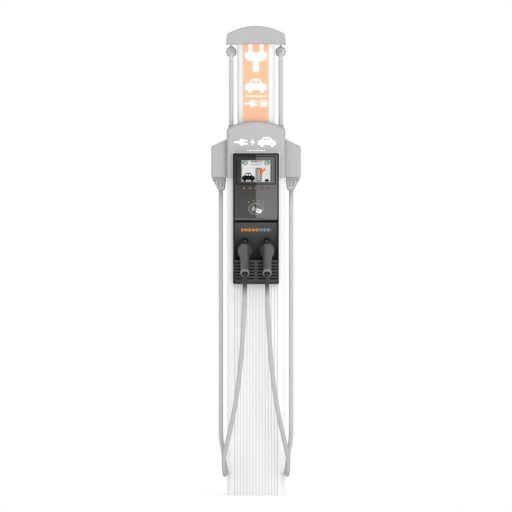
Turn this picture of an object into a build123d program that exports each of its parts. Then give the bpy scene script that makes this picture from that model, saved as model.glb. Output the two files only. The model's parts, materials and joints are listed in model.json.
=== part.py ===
from build123d import *
import os
from math import cos, pi, radians, sin, tan

# EV charging post: a fluted floor-standing pole with a dual-output charger on its front, a head with
# two side arms, and a smaller pole above it whose cap holds a counterweighted cable retractor.
# Millimetres. Origin at the centre of the base on the ground, +Z up, the front faces -Y.
# Everything with a left and a right is drawn on the +X side and mirrored.

# ---- driving dimensions ----
POST_TOP = 1807.0
POLE_WIDTH, POLE_DEPTH, POLE_CORNER, POLE_WALL = 222.0, 150.0, 26.0, 5.0
POLE_TOP = 1225.0
FLUTE_PITCH, FLUTE_WIDTH, FLUTE_DEPTH, FLUTE_EDGE = 11.7, 3.0, 2.2, 82.0
MAST_WIDTH, MAST_DEPTH, MAST_CORNER, MAST_WALL = 145.0, 110.0, 24.0, 4.0
MAST_BOTTOM, MAST_TOP = 1100.0, 1738.0
PLATE_THICKNESS = 12.0
ANCHOR_X, ANCHOR_Y, ANCHOR_RADIUS = 70.0, 45.0, 9.0
CONDUIT_RADIUS = 38.0
HEAD_HALF_WIDTH, HEAD_FRONT, HEAD_BACK, HEAD_WALL = 112.7, 100.0, 80.0, 3.0
HEAD_SHOULDER, HEAD_ARC_X, HEAD_ARC_Z, HEAD_PEAK = 1410.0, 88.0, 1425.0, 1440.0
HEAD_EDGE = 11.0
ARM_OUTER, ARM_BOTTOM, ARM_TOP_OUTER, ARM_TOP_INNER = 172.5, 1223.5, 1343.0, 1371.5
ARM_HALF_DEPTH, ARM_EDGE = 66.0, 6.0
BOOT_END = 1174.6
CAP_BOTTOM, CAP_HALF_WIDTH, CAP_DEPTH, CAP_WALL = 1738.0, 115.0, 150.0, 3.0
FASCIA_HALF_WIDTH, FASCIA_BOTTOM, FASCIA_TOP, FASCIA_WALL = 88.0, 814.0, 1316.0, 5.5
FASCIA_BACK, FASCIA_FRONT = -75.0, -118.0
PANEL_HALF_WIDTH, PANEL_RIDGE, PANEL_EDGE_Y, PANEL_BACK = 82.2, -122.0, -118.8, -114.0
SCREEN_HALF_WIDTH, SCREEN_BOTTOM, SCREEN_TOP = 58.4, 1205.0, 1291.0
BUTTON_PITCH, BUTTON_HEIGHT, BUTTON_RADIUS, BUTTON_COUNT = 23.2, 1182.0, 5.6, 5
BUTTON_TRAVEL, SWITCH_FRONT = 1.0, -108.2
LED_PLACES = [(-28.5, 1128.0), (-9.5, 1133.5), (9.5, 1133.5), (28.5, 1128.0)]
CABLE_RADIUS = 8.5
CABLE_X, LEG_Y, CLAMP_HEIGHT, CLAMP_RADIUS = 95.5, 46.0, 1709.0, 20.5
BEND_RADIUS = 34.0
ARM_CABLE_X = 135.7
SHEAVE_X, SHEAVE_HEIGHT, PITCH_RADIUS, WIRE_RADIUS = 73.0, 1764.0, 22.5, 1.5
WEIGHT_RADIUS, WEIGHT_BOTTOM, WEIGHT_TOP = 14.5, 1150.0, 1400.0
SOCKET_X, SOCKET_Y, SOCKET_HEIGHT, SOCKET_TILT = 42.5, -98.0, 944.0, 5.0
NOSE_RADIUS, NOSE_LENGTH, FLANGE_RADIUS = 22.0, 42.0, 31.0
HANDLE_END = (SOCKET_X, -187.0, 858.0)
HANDLE_SLOPE = 43.0
GAP = 0.3

# The free charging cable from the boot down, round the loop and up to the handle, on the +X side.
CABLE_ROUTE = [
    (135.7, 0, 1174.6),
    (135.7, 0, 268),
    (135.2, -0.5, 216),
    (124, -3.5, 159),
    (120.8, -24, 110),
    (119.8, -64, 82),
    (119, -111, 80),
    (122.2, -151.5, 101),
    (124.2, -177, 139),
    (116.5, -185.5, 182),
    (104.5, -188, 232),
    (89, -192, 300),
    (72, -200, 395),
    (58, -211, 515),
    (49.5, -225, 635),
    (46, -236, 705),
    (44, -240.5, 760),
    (43, -232.5, 800),
    (42.5, -213.3, 833.4),
    (42.5, -187.3, 857.7),
]
# The inner run from the head's rear grommet, through the side arm and out of the boot.
ARM_ROUTE = [
    (CABLE_X, LEG_Y, 1400),
    (CABLE_X, LEG_Y, 1352),
    (ARM_CABLE_X, 0, 1288),
    (ARM_CABLE_X, 0, BOOT_END),
]


# ---- helpers ----
def block(x0, x1, y0, y1, z0, z1):
    return Pos((x0 + x1) / 2, (y0 + y1) / 2, (z0 + z1) / 2) * Box(x1 - x0, y1 - y0, z1 - z0)


def rod_z(x, y, z0, z1, radius):
    return Pos(x, y, (z0 + z1) / 2) * Cylinder(radius, z1 - z0)


def rod_y(x, z, y0, y1, radius):
    return Pos(x, (y0 + y1) / 2, z) * Rot(90, 0, 0) * Cylinder(radius, y1 - y0)


def column(width, depth, corner, z0, z1):
    """A rounded rectangular bar about the Z axis."""
    return Pos(0, 0, z0) * extrude(RectangleRounded(width, depth, corner), z1 - z0)


def side_profile(points, x0, x1):
    """A prism whose outline is given as (y, z) points, between two x values."""
    outline = Plane.YZ * make_face(Polyline(*points, close=True))
    return Pos(x0, 0, 0) * extrude(outline, x1 - x0)


def mirrored(shape):
    return mirror(shape, about=Plane.YZ)


def tube(points, radii, radius):
    path = FilletPolyline(*points, radius=radii)
    start = Plane(origin=path @ 0, z_dir=path % 0)
    return sweep(start * Circle(radius), path=path)


def largest_radii(points):
    """Each bend as wide as its two runs allow."""
    radii = []
    for before, here, after in zip(points, points[1:], points[2:]):
        run_in, run_out = Vector(*here) - Vector(*before), Vector(*after) - Vector(*here)
        turn = radians(run_in.get_angle(run_out))
        radii.append(0.45 * min(run_in.length, run_out.length) / tan(turn / 2))
    return radii


def save(name, *solids):
    os.makedirs("parts", exist_ok=True)
    solids = [piece for shape in solids for piece in shape.solids()]
    export_step(solids[0] if len(solids) == 1 else Compound(children=solids), f"parts/{name}.step")


def save_pair(name, *solids):
    save(f"{name}_right", *solids)
    save(f"{name}_left", *[mirrored(shape) for shape in solids])


# ---- poles and base ----
def lower_pole():
    inner_width, inner_depth = POLE_WIDTH - 2 * POLE_WALL, POLE_DEPTH - 2 * POLE_WALL
    pole = column(POLE_WIDTH, POLE_DEPTH, POLE_CORNER, 0, POLE_TOP)
    pole -= column(inner_width, inner_depth, POLE_CORNER - POLE_WALL, -1, POLE_TOP + 1)
    flutes = []
    count = round(2 * FLUTE_EDGE / FLUTE_PITCH)
    for i in range(count + 1):
        x = -FLUTE_EDGE + 2 * FLUTE_EDGE * i / count
        half = FLUTE_WIDTH / 2 if 0 < i < count else FLUTE_WIDTH * 0.75
        for y in (-POLE_DEPTH / 2, POLE_DEPTH / 2):
            flutes.append(block(x - half, x + half, y - FLUTE_DEPTH, y + FLUTE_DEPTH, -1, POLE_TOP + 1))
    pole -= flutes
    window = block(-74, 74, -POLE_DEPTH / 2 - 1, -60, 850, 1208)
    return pole - window


def base_plate():
    width, depth = POLE_WIDTH - 2 * POLE_WALL - 2 * GAP, POLE_DEPTH - 2 * POLE_WALL - 2 * GAP
    plate = column(width, depth, POLE_CORNER - POLE_WALL, 0, PLATE_THICKNESS)
    corners = [(x, y) for x in (-ANCHOR_X, ANCHOR_X) for y in (-ANCHOR_Y, ANCHOR_Y)]
    holes = [rod_z(x, y, -1, 20, ANCHOR_RADIUS) for x, y in corners]
    return plate - holes - rod_z(0, 0, -1, 20, CONDUIT_RADIUS)


def base_bracket():
    wall = POLE_WIDTH / 2 - POLE_WALL
    foot = block(70, wall, -28, 28, PLATE_THICKNESS, PLATE_THICKNESS + 6)
    upright = block(wall - 6, wall, -28, 28, PLATE_THICKNESS, 90)
    return foot + upright


def upper_pole():
    pole = column(MAST_WIDTH, MAST_DEPTH, MAST_CORNER, MAST_BOTTOM, MAST_TOP)
    inner_width, inner_depth = MAST_WIDTH - 2 * MAST_WALL, MAST_DEPTH - 2 * MAST_WALL
    pole -= column(inner_width, inner_depth, MAST_CORNER - MAST_WALL, 1000, 1800)
    front = -MAST_DEPTH / 2
    grooves = [block(x - 1, x + 1, front - 1, front + 2, 1000, 1800) for x in (-54.5, 54.5)]
    holes = [rod_y(x, z, 45, 60, 2.6) for x in (-40, 40) for z in (1270, 1400)]
    return pole - grooves - holes


def pole_collars():
    """Two spacer rings that hold the upper pole inside the lower one."""
    collars = []
    for z0, z1, reach_front in ((1212, POLE_TOP, POLE_DEPTH / 2 - POLE_WALL), (MAST_BOTTOM, 1114, 63.0)):
        ring = block(-80, 80, -63, 63, z0, z1)
        ring += block(-POLE_WIDTH / 2 + POLE_WALL, POLE_WIDTH / 2 - POLE_WALL, -25, 25, z0, z1)
        ring += block(-55, 55, -reach_front, POLE_DEPTH / 2 - POLE_WALL, z0, z1)
        collars.append(ring - column(MAST_WIDTH, MAST_DEPTH, MAST_CORNER, z0 - 1, z1 + 1))
    return collars


def sign_panel():
    return block(-48, 48, -57, -55, 1430, MAST_TOP - 0.5)


def sign_lens():
    lens = block(-52.5, 52.5, -60.5, -55, 1430, MAST_TOP - 0.5)
    return lens - block(-48.2, 48.2, -57.2, -54, 1400, 1800)


# ---- cap and retractor ----
def cap_outline(inset):
    bottom, side_top = CAP_BOTTOM, 1776.0
    half_bottom, half_top = CAP_HALF_WIDTH - inset, 111.0 - inset
    peak = POST_TOP - inset
    right = Line((half_bottom, bottom), (half_top, side_top))
    top = ThreePointArc((half_top, side_top), (0, peak), (-half_top, side_top))
    left = Line((-half_top, side_top), (-half_bottom, bottom))
    base = Line((-half_bottom, bottom), (half_bottom, bottom))
    return Plane.XZ * make_face([right, top, left, base])


def top_cap():
    outer = extrude(cap_outline(0), CAP_DEPTH / 2, both=True)
    outer = fillet(outer.edges().filter_by(Axis.Y).group_by(Axis.Z)[1], 6)
    front_and_back = outer.faces().filter_by(Axis.Y)
    rim = [e for f in front_and_back for e in f.edges() if e.center().Z > CAP_BOTTOM + 5]
    outer = fillet(rim, 5)
    inner = extrude(cap_outline(CAP_WALL), CAP_DEPTH / 2 - CAP_WALL, both=True)
    holes = [rod_y(x, 1748, 60, 80, 2.6) for x in (-60, 60)]
    return outer - inner - holes


def pulley_frame():
    """A tray inside the cap with flanges front and back and two cheeks beside each sheave."""
    plate_top = CAP_BOTTOM + 3.5
    half_depth = CAP_DEPTH / 2 - CAP_WALL - GAP
    frame = block(-110, 110, -half_depth, half_depth, CAP_BOTTOM + 0.5, plate_top)
    for y0, y1 in ((-half_depth, 3 - half_depth), (half_depth - 3, half_depth)):
        frame += block(-106, 106, y0, y1, CAP_BOTTOM + 0.5, 1757)
    for x in (-SHEAVE_X, SHEAVE_X):
        frame -= block(x - 28, x + 28, -8, 8, 1700, 1760)
        for y0, y1 in ((-11, -8), (8, 11)):
            frame += block(x - 12, x + 12, y0, y1, CAP_BOTTOM + 0.5, 1774)
        frame -= rod_y(x, SHEAVE_HEIGHT, -20, 20, 4.0)
    frame -= [rod_y(x, 1748, 50, 80, 2.6) for x in (-60, 60)]
    return frame


def pulley_axle():
    return rod_y(SHEAVE_X, SHEAVE_HEIGHT, -13, 13, 4.0)


def pulley():
    groove_radius = PITCH_RADIUS - WIRE_RADIUS - GAP
    wheel = rod_y(SHEAVE_X, SHEAVE_HEIGHT, -6, 6, PITCH_RADIUS + 3)
    flange_gap = rod_y(SHEAVE_X, SHEAVE_HEIGHT, -2.2, 2.2, 40)
    flange_gap -= rod_y(SHEAVE_X, SHEAVE_HEIGHT, -3, 3, groove_radius)
    spokes = [
        rod_y(SHEAVE_X + 13 * cos(radians(a)), SHEAVE_HEIGHT + 13 * sin(radians(a)), -10, 10, 3.5)
        for a in range(0, 360, 60)
    ]
    return wheel - flange_gap - spokes - rod_y(SHEAVE_X, SHEAVE_HEIGHT, -10, 10, 4.05)


def retractor_wire():
    """From the clamp over the sheave and down to the counterweight."""
    outer_x, inner_x = SHEAVE_X + PITCH_RADIUS, SHEAVE_X - PITCH_RADIUS
    top = Vector(SHEAVE_X, 0, SHEAVE_HEIGHT + PITCH_RADIUS)
    clamp_top = CLAMP_HEIGHT + CLAMP_RADIUS + 5.1
    up = Line((outer_x, 0, clamp_top), (outer_x, 0, SHEAVE_HEIGHT))
    over = ThreePointArc(up @ 1, top, (inner_x, 0, SHEAVE_HEIGHT))
    down = Line(over @ 1, (inner_x, 0, WEIGHT_TOP + 0.1))
    return sweep(Plane(origin=up @ 0, z_dir=(0, 0, 1)) * Circle(WIRE_RADIUS), path=Wire([up, over, down]))


def cable_clamp():
    """A ball clamp with a neck for the wire and a bore for the bent cable."""
    ball = Pos(CABLE_X, 0, CLAMP_HEIGHT) * Sphere(CLAMP_RADIUS)
    neck = Pos(CABLE_X, 0, CLAMP_HEIGHT + CLAMP_RADIUS - 1) * Cone(7.5, 3.5, 12)
    return ball + neck - cable_bend(CABLE_RADIUS + 0.05)


def cable_bend(radius=CABLE_RADIUS):
    bottom, middle = CLAMP_HEIGHT - BEND_RADIUS, LEG_Y
    points = [
        (CABLE_X, -middle, bottom - 1),
        (CABLE_X, -middle, CLAMP_HEIGHT),
        (CABLE_X, middle, CLAMP_HEIGHT),
        (CABLE_X, middle, bottom - 1),
    ]
    return tube(points, [BEND_RADIUS, BEND_RADIUS], radius)


def cable_legs():
    bottom = CLAMP_HEIGHT - BEND_RADIUS - 1
    rear = rod_z(CABLE_X, LEG_Y, ARM_ROUTE[0][2], bottom, CABLE_RADIUS)
    front = rod_z(CABLE_X, -LEG_Y, ARM_ROUTE[0][2], bottom, CABLE_RADIUS)
    return [rear, front]


def inner_cables():
    """Inside the head: the rear leg on to the boot, the front leg down to the power module."""
    rear = tube(ARM_ROUTE, largest_radii(ARM_ROUTE), CABLE_RADIUS)
    front = rod_z(CABLE_X, -LEG_Y, 1090, ARM_ROUTE[0][2], CABLE_RADIUS)
    return [rear, front, mirrored(rear), mirrored(front)]


def counterweight():
    x = SHEAVE_X - PITCH_RADIUS
    weight = rod_z(x, 0, WEIGHT_BOTTOM, WEIGHT_TOP - 12, WEIGHT_RADIUS)
    return weight + rod_z(x, 0, WEIGHT_TOP - 13, WEIGHT_TOP, 6)


# ---- head and side arms ----
def head_outline(inset):
    half, bottom = HEAD_HALF_WIDTH - inset, POLE_TOP + inset
    shoulder, arc_z, peak = HEAD_SHOULDER - inset, HEAD_ARC_Z - inset, HEAD_PEAK - inset
    arc_x = HEAD_ARC_X - inset * 0.3
    edges = [
        Line((-half, bottom), (half, bottom)),
        Line((half, bottom), (half, shoulder)),
        Line((half, shoulder), (arc_x, arc_z)),
        ThreePointArc((arc_x, arc_z), (0, peak), (-arc_x, arc_z)),
        Line((-arc_x, arc_z), (-half, shoulder)),
        Line((-half, shoulder), (-half, bottom)),
    ]
    face = make_face(edges)
    corners = [v for v in face.vertices() if abs(v.Y - shoulder) < 0.1]
    return Plane.XZ * fillet(corners, 14 - inset)


def head_block(inset, depth, edge):
    """The head's outline drawn out to the front, with a soft edge on its sides and top."""
    solid = extrude(head_outline(inset), depth)
    face = solid.faces().sort_by(Axis.Y)[0]
    rim = [e for e in face.edges() if e.center().Z > POLE_TOP + inset + 1]
    return fillet(rim, edge)


def head_shell(depth):
    return head_block(0, depth, HEAD_EDGE) - head_block(HEAD_WALL, depth - HEAD_WALL, HEAD_EDGE - HEAD_WALL)


def head_openings():
    mast = column(MAST_WIDTH + 2 * GAP, MAST_DEPTH + 2 * GAP, MAST_CORNER, 1000, 1500)
    sign = block(-53, 53, -61, 0, 1410, 1500)
    grommets = [rod_z(x, y, 1380, 1450, 11.1) for x in (-CABLE_X, CABLE_X) for y in (-LEG_Y, LEG_Y)]
    leads = [rod_z(x, -LEG_Y, 1200, 1250, 9.5) for x in (-CABLE_X, CABLE_X)]
    arm_ports = block(-120, 120, -30, 44, 1242, 1350)
    return [mast, sign, *grommets, *leads, arm_ports]


def head_front():
    shell = head_shell(HEAD_FRONT)
    notch_half, notch_top = FASCIA_HALF_WIDTH + 0.5, FASCIA_TOP + 0.6
    notch = block(-notch_half, notch_half, -120, -70, 1200, notch_top)
    return shell - head_openings() - notch


def head_back():
    shell = mirror(head_shell(HEAD_BACK), about=Plane.XZ)
    holes = [rod_y(x, z, 60, 90, 2.6) for x in (-40, 40) for z in (1270, 1400)]
    return shell - head_openings() - holes


def cable_grommets():
    """A sleeve round each cable where it enters the head's shoulder."""
    sleeves = [cable_grommet(-LEG_Y), cable_grommet(LEG_Y)]
    return sleeves + [mirrored(sleeve) for sleeve in sleeves]


def cable_grommet(y):
    return rod_z(CABLE_X, y, 1402, 1426, 11) - rod_z(CABLE_X, y, 1300, 1500, CABLE_RADIUS + 0.4)


def arm_outline(inset, inner_x):
    points = [
        (inner_x, ARM_BOTTOM + inset),
        (ARM_OUTER - inset, ARM_BOTTOM + inset),
        (ARM_OUTER - inset, ARM_TOP_OUTER - inset),
        (inner_x, ARM_TOP_INNER - inset),
    ]
    return Plane.XZ * make_face(Polyline(*points, close=True))


def side_arm():
    shell = extrude(arm_outline(0, HEAD_HALF_WIDTH), ARM_HALF_DEPTH, both=True)
    rim = [e for e in shell.edges() if e.center().X > HEAD_HALF_WIDTH + 1]
    shell = fillet(rim, ARM_EDGE)
    hollow = extrude(arm_outline(3, HEAD_HALF_WIDTH - 1), ARM_HALF_DEPTH - 3, both=True)
    return shell - hollow - rod_z(ARM_CABLE_X, 0, 1200, 1240, CABLE_RADIUS + 0.4)


def arm_boot():
    """A tapered rubber strain relief with rows of flex slots."""
    sections = [
        (1223.4, 143.9, 56, 52, 8),
        (1208, 139.4, 47, 46, 8),
        (1183, 134.2, 31, 31, 9),
        (1174.8, 134.8, 22, 22, 9),
    ]
    faces = [Pos(x, 0, z) * RectangleRounded(width, depth, corner) for z, x, width, depth, corner in sections]
    boot = loft(faces, ruled=True)
    slots = []
    for z, half_depth in ((1213, 24.5), (1203.5, 22), (1194, 18.5)):
        for x in (-19.5, -5.5, 8.5, 22.5):
            for y in (-half_depth, half_depth):
                slots.append(Pos(ARM_CABLE_X + x, y, z) * Box(7, 6, 3.6))
    return boot - slots - rod_z(ARM_CABLE_X, 0, 1160, 1240, CABLE_RADIUS + 0.05)


# ---- charger front ----
def fascia_chassis():
    inner = FASCIA_HALF_WIDTH - FASCIA_WALL
    tub = block(-FASCIA_HALF_WIDTH, FASCIA_HALF_WIDTH, FASCIA_FRONT, FASCIA_BACK, FASCIA_BOTTOM, FASCIA_TOP)
    tub = fillet(tub.edges().filter_by(Axis.Y), 4)
    tub -= block(-inner, inner, -130, FASCIA_BACK - 3, FASCIA_BOTTOM + FASCIA_WALL, FASCIA_TOP - FASCIA_WALL)
    for x in (-SOCKET_X, SOCKET_X):
        tub -= rod_y(x, SOCKET_HEIGHT - 2, -90, -60, 32)
    tub -= block(-60, 60, -90, -60, 1085, 1185)
    tub -= [rod_z(x, -104, 800, 830, 2.6) for x in (-60, 60)]
    return tub


def panel_slab(half_width, z0, z1, recess, back):
    """A slab whose front face folds along a vertical ridge in its middle."""
    slope = (PANEL_EDGE_Y - PANEL_RIDGE) / PANEL_HALF_WIDTH
    edge_y = PANEL_RIDGE + slope * half_width + recess
    points = [
        (-half_width, edge_y),
        (0, PANEL_RIDGE + recess),
        (half_width, edge_y),
        (half_width, back),
        (-half_width, back),
    ]
    return Pos(0, 0, z0) * extrude(make_face(Polyline(*points, close=True)), z1 - z0)


def button_places():
    middle = (BUTTON_COUNT - 1) / 2
    return [(i - middle) * BUTTON_PITCH for i in range(BUTTON_COUNT)]


def display_panel():
    panel = panel_slab(PANEL_HALF_WIDTH, 1059, FASCIA_TOP - FASCIA_WALL - GAP, 0, PANEL_BACK)
    panel -= block(-76.2, 76.2, -130, -100, 1196, 1307)
    panel -= [rod_y(x, BUTTON_HEIGHT, -130, -100, BUTTON_RADIUS + GAP) for x in button_places()]
    panel -= [rod_y(x, z, -130, -100, 2.0) for x, z in LED_PLACES]
    lip = side_profile([(-123, 1070), (-113.5, 1058), (-124, 1058)], -90, 90)
    return panel - lip


def display_gasket():
    ring = panel_slab(76.1, 1196.1, 1306.9, 2.2, PANEL_BACK)
    return ring - block(-72.2, 72.2, -130, -100, 1200, 1303)


def display_bezel():
    plate = panel_slab(72.1, 1200.1, 1302.9, 0.4, PANEL_BACK)
    opening = SCREEN_HALF_WIDTH + 0.1
    return plate - block(-opening, opening, -130, -100, SCREEN_BOTTOM - 0.1, SCREEN_TOP + 0.1)


def display_lens():
    return block(-SCREEN_HALF_WIDTH, SCREEN_HALF_WIDTH, -118.2, -116.2, SCREEN_BOTTOM, SCREEN_TOP)


def lcd_module():
    cell = block(-57.8, 57.8, -116.1, PANEL_BACK, SCREEN_BOTTOM + 0.6, SCREEN_TOP - 0.6)
    return cell + block(-68, 68, PANEL_BACK, -103, 1198, 1300)


def control_board():
    board = block(-78, 78, -106.5, -104.9, 1075, 1194)
    low, high = BUTTON_HEIGHT - 3, BUTTON_HEIGHT + 3
    switches = [block(x - 3, x + 3, SWITCH_FRONT, -106.5, low, high) for x in button_places()]
    chip_places = ((-60, 1090, 22), (-20, 1140, 28), (35, 1100, 18))
    chips = [block(x, x + width, -104.9, -102.5, z, z + width) for x, z, width in chip_places]
    return board + switches + chips


def push_button(x):
    cap = rod_y(x, BUTTON_HEIGHT, -123.2, -110.2, BUTTON_RADIUS)
    cap = fillet(cap.edges().sort_by(Axis.Y)[0], 0.8)
    flange = rod_y(x, BUTTON_HEIGHT, -112, -109.8, BUTTON_RADIUS + 0.9)
    plunger = rod_y(x, BUTTON_HEIGHT, -110, SWITCH_FRONT - BUTTON_TRAVEL - GAP, 1.5)
    return cap + flange + plunger


def status_led(x, z):
    """A light that stands a little proud of the folded panel."""
    slope = (PANEL_EDGE_Y - PANEL_RIDGE) / PANEL_HALF_WIDTH
    return rod_y(x, z, PANEL_RIDGE + abs(x) * slope - 0.4, -112, 1.9)


def card_reader():
    reader = block(-34, 34, -113.6, -110, 1078, 1124)
    return fillet(reader.edges().filter_by(Axis.Y), 4)


def holster_panel():
    points = [(-112, 1050), (-92, 909), (-89, 909), (-108.6, 1047), (-98, 1047), (-98, 1050)]
    panel = side_profile(points, -PANEL_HALF_WIDTH, PANEL_HALF_WIDTH)
    for x in (-SOCKET_X, SOCKET_X):
        panel -= Pos(x - SOCKET_X, 0, 0) * along_socket(-20, 30, FLANGE_RADIUS + GAP)
        panel -= latch_notch(x)
    return panel


def vent_grille():
    bottom, top = FASCIA_BOTTOM + FASCIA_WALL + GAP, 906.0
    plate = block(-PANEL_HALF_WIDTH, PANEL_HALF_WIDTH, -120, -116, bottom, top)
    ledge = block(-PANEL_HALF_WIDTH, PANEL_HALF_WIDTH, -120, -92, top - 3, top)
    foot = block(-PANEL_HALF_WIDTH, PANEL_HALF_WIDTH, -118, -96, bottom, bottom + 3)
    plate = plate + ledge + foot
    for row in range(6):
        z = 834.5 + 11.9 * row
        for x0, x1 in ((-80.5, -6.3), (6.3, 80.5)):
            plate -= block(x0, x1, -130, -110, z - 2.7, z + 2.7)
    crease = block(-90, 90, -121, -119, 824.5, 826)
    return plate - crease - [rod_z(x, -104, 810, 830, 2.6) for x in (-60, 60)]


def power_module():
    case = block(-96, 96, -40, 60, 845, 1085)
    case = fillet(case.edges(), 3)
    rails = block(-POLE_WIDTH / 2 + POLE_WALL, POLE_WIDTH / 2 - POLE_WALL, -12, 12, 870, 1060)
    terminals = [block(*sorted((side * 80, side * 103)), -56, -30, 1050, 1090) for side in (-1, 1)]
    return case + rails + terminals


def cover_screws():
    """Security screws: two behind the cap, four behind the head, two under the charger front."""
    screws = []
    for x in (-60, 60):
        screws.append(rod_y(x, 1748, 75, 77.5, 5) + rod_y(x, 1748, 62, 75.5, 2.5))
        screws.append(rod_z(x, -104, 811.5, 814, 5) + rod_z(x, -104, 813.5, 826, 2.5))
    for x in (-40, 40):
        for z in (1270, 1400):
            screws.append(rod_y(x, z, 80, 82.5, 5) + rod_y(x, z, 48, 80.5, 2.5))
    return screws


# ---- holsters and connectors ----
PULL_OUT = Vector(0, -cos(radians(SOCKET_TILT)), sin(radians(SOCKET_TILT)))
SOCKET_UP = Vector(0, sin(radians(SOCKET_TILT)), cos(radians(SOCKET_TILT)))
MOUTH = Vector(SOCKET_X, SOCKET_Y, SOCKET_HEIGHT)


def along_socket(start, end, radius):
    """A cylinder on the socket's axis; distances are positive out of the mouth."""
    plane = Plane(origin=MOUTH + PULL_OUT * start, x_dir=(1, 0, 0), z_dir=PULL_OUT)
    return extrude(plane * Circle(radius), end - start)


def socket_block(half_width, start, end, low, high):
    """A block beside the socket's axis, from start to end along it and low to high above it."""
    plane = Plane(origin=MOUTH + PULL_OUT * start, x_dir=(1, 0, 0), z_dir=PULL_OUT)
    outline = plane * Pos(0, (low + high) / 2) * Rectangle(2 * half_width, high - low)
    return extrude(outline, end - start)


def latch_notch(x):
    notch = socket_block(8, -40, 30, 18, 31)
    return Pos(x - SOCKET_X, 0, 0) * notch


def holster():
    cup = along_socket(-50, 0, 26.6) + along_socket(0, 4, FLANGE_RADIUS)
    cup -= along_socket(-47, 10, NOSE_RADIUS + 1)
    return cup - latch_notch(SOCKET_X)


def connector_nose():
    nose = along_socket(-NOSE_LENGTH, 6, NOSE_RADIUS)
    nose -= along_socket(-NOSE_LENGTH - 1, -NOSE_LENGTH + 12, NOSE_RADIUS - 2.5)
    for x, up, radius in ((-7, 6, 3.4), (7, 6, 3.4), (0, -9.5, 2.8), (-9.5, -4.5, 1.8), (9.5, -4.5, 1.8)):
        pin = along_socket(-NOSE_LENGTH, -NOSE_LENGTH + 26, radius)
        nose -= Pos(x, SOCKET_UP.Y * up, SOCKET_UP.Z * up) * pin
    return nose


def connector_solid():
    guard_sections = [(6, 22, 21), (14, 26.5, 23), (28, 27, 24), (42, 23, 22), (54, 14, 16)]
    guard = loft([
        Plane(origin=MOUTH + PULL_OUT * t, x_dir=(1, 0, 0), z_dir=PULL_OUT) * Ellipse(a, b)
        for t, a, b in guard_sections
    ])
    handle_sections = [
        (-134, 981, 99, 12, 12),
        (-141, 960, 101, 16, 17),
        (-147.5, 934, 104, 17.5, 19.5),
        (-155.5, 906, 108, 17, 18.5),
        (-168, 880, 120, 16.5, 17),
        (-187, 858, 180 - HANDLE_SLOPE, 15.5, 15.5),
    ]
    sections = []
    for y, z, angle, a, b in handle_sections:
        # The angle is the run's direction, turned from straight out (0) through down (90).
        direction = (0, cos(radians(angle)), -sin(radians(angle)))
        if angle > 90:
            direction = (0, -abs(cos(radians(angle))), -sin(radians(angle)))
        sections.append(Plane(origin=(SOCKET_X, y, z), x_dir=(1, 0, 0), z_dir=direction) * Ellipse(a, b))
    return guard + loft(sections)


KNOB = Vector(SOCKET_X, -141, 977)
KNOB_AXIS = Vector(0, -cos(radians(22)), sin(radians(22)))
THUMB_RING_START, THUMB_POCKET = 3.5, 11.2
PIVOT_ALONG, PIVOT_UP, PIVOT_RADIUS = 14, 26, 2.0


def knob_rod(start, end, radius):
    plane = Plane(origin=KNOB + KNOB_AXIS * start, x_dir=(1, 0, 0), z_dir=KNOB_AXIS)
    return extrude(plane * Circle(radius), end - start)


def pivot_rod(half_length, radius):
    """A pin across the socket's axis, where the latch turns."""
    centre = MOUTH + PULL_OUT * PIVOT_ALONG + SOCKET_UP * PIVOT_UP
    return Pos(*centre) * Rot(0, 90, 0) * Cylinder(radius, 2 * half_length)


def connector_body():
    body = connector_solid() + knob_rod(-18, THUMB_RING_START, 13.5)
    body -= knob_rod(-6, 20, THUMB_POCKET)
    body -= knob_rod(THUMB_RING_START, 20, 13.7)
    body -= socket_block(6, -2, 46, 21.5, 36)
    ears = socket_block(8.5, PIVOT_ALONG - 4, PIVOT_ALONG + 4, 18, PIVOT_UP + 3.5)
    ears -= socket_block(6, -2, 46, 10, 36)
    return body + ears - pivot_rod(10, PIVOT_RADIUS + 0.05)


def latch_lever():
    """A rocker: the thumb knob in front and the hook that reaches over the nose."""
    knob = fillet(knob_rod(-4.5, 10, 8.6).edges().sort_by(Axis.Y)[0], 2)
    arm = socket_block(5, -20, 43, 24, 28.5)
    hook = socket_block(5, -20, -16, 22.8, 25)
    return knob + arm + hook + pivot_rod(8, PIVOT_RADIUS)


def connector_rings():
    """A ring round the cable at the handle's end and a ring round the thumb knob."""
    slope = radians(HANDLE_SLOPE)
    plane = Plane(origin=HANDLE_END, x_dir=(1, 0, 0), z_dir=(0, -cos(slope), -sin(slope)))
    cable_ring = extrude(plane * Circle(16.2), 9) - extrude(plane * Circle(10), 9)
    thumb_ring = knob_rod(THUMB_RING_START, 9, 13.6) - knob_rod(THUMB_RING_START, 9, THUMB_POCKET)
    return [cable_ring, thumb_ring]


def charging_cable():
    radii = largest_radii(CABLE_ROUTE)
    cable = tube(CABLE_ROUTE, radii, CABLE_RADIUS)
    length = FilletPolyline(*CABLE_ROUTE, radius=radii).length
    print("cable radii", [round(r) for r in radii])
    print("cable length", round(length, 1))
    print("volume ratio", round(cable.volume / (pi * CABLE_RADIUS**2 * length), 5))
    return cable


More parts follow.
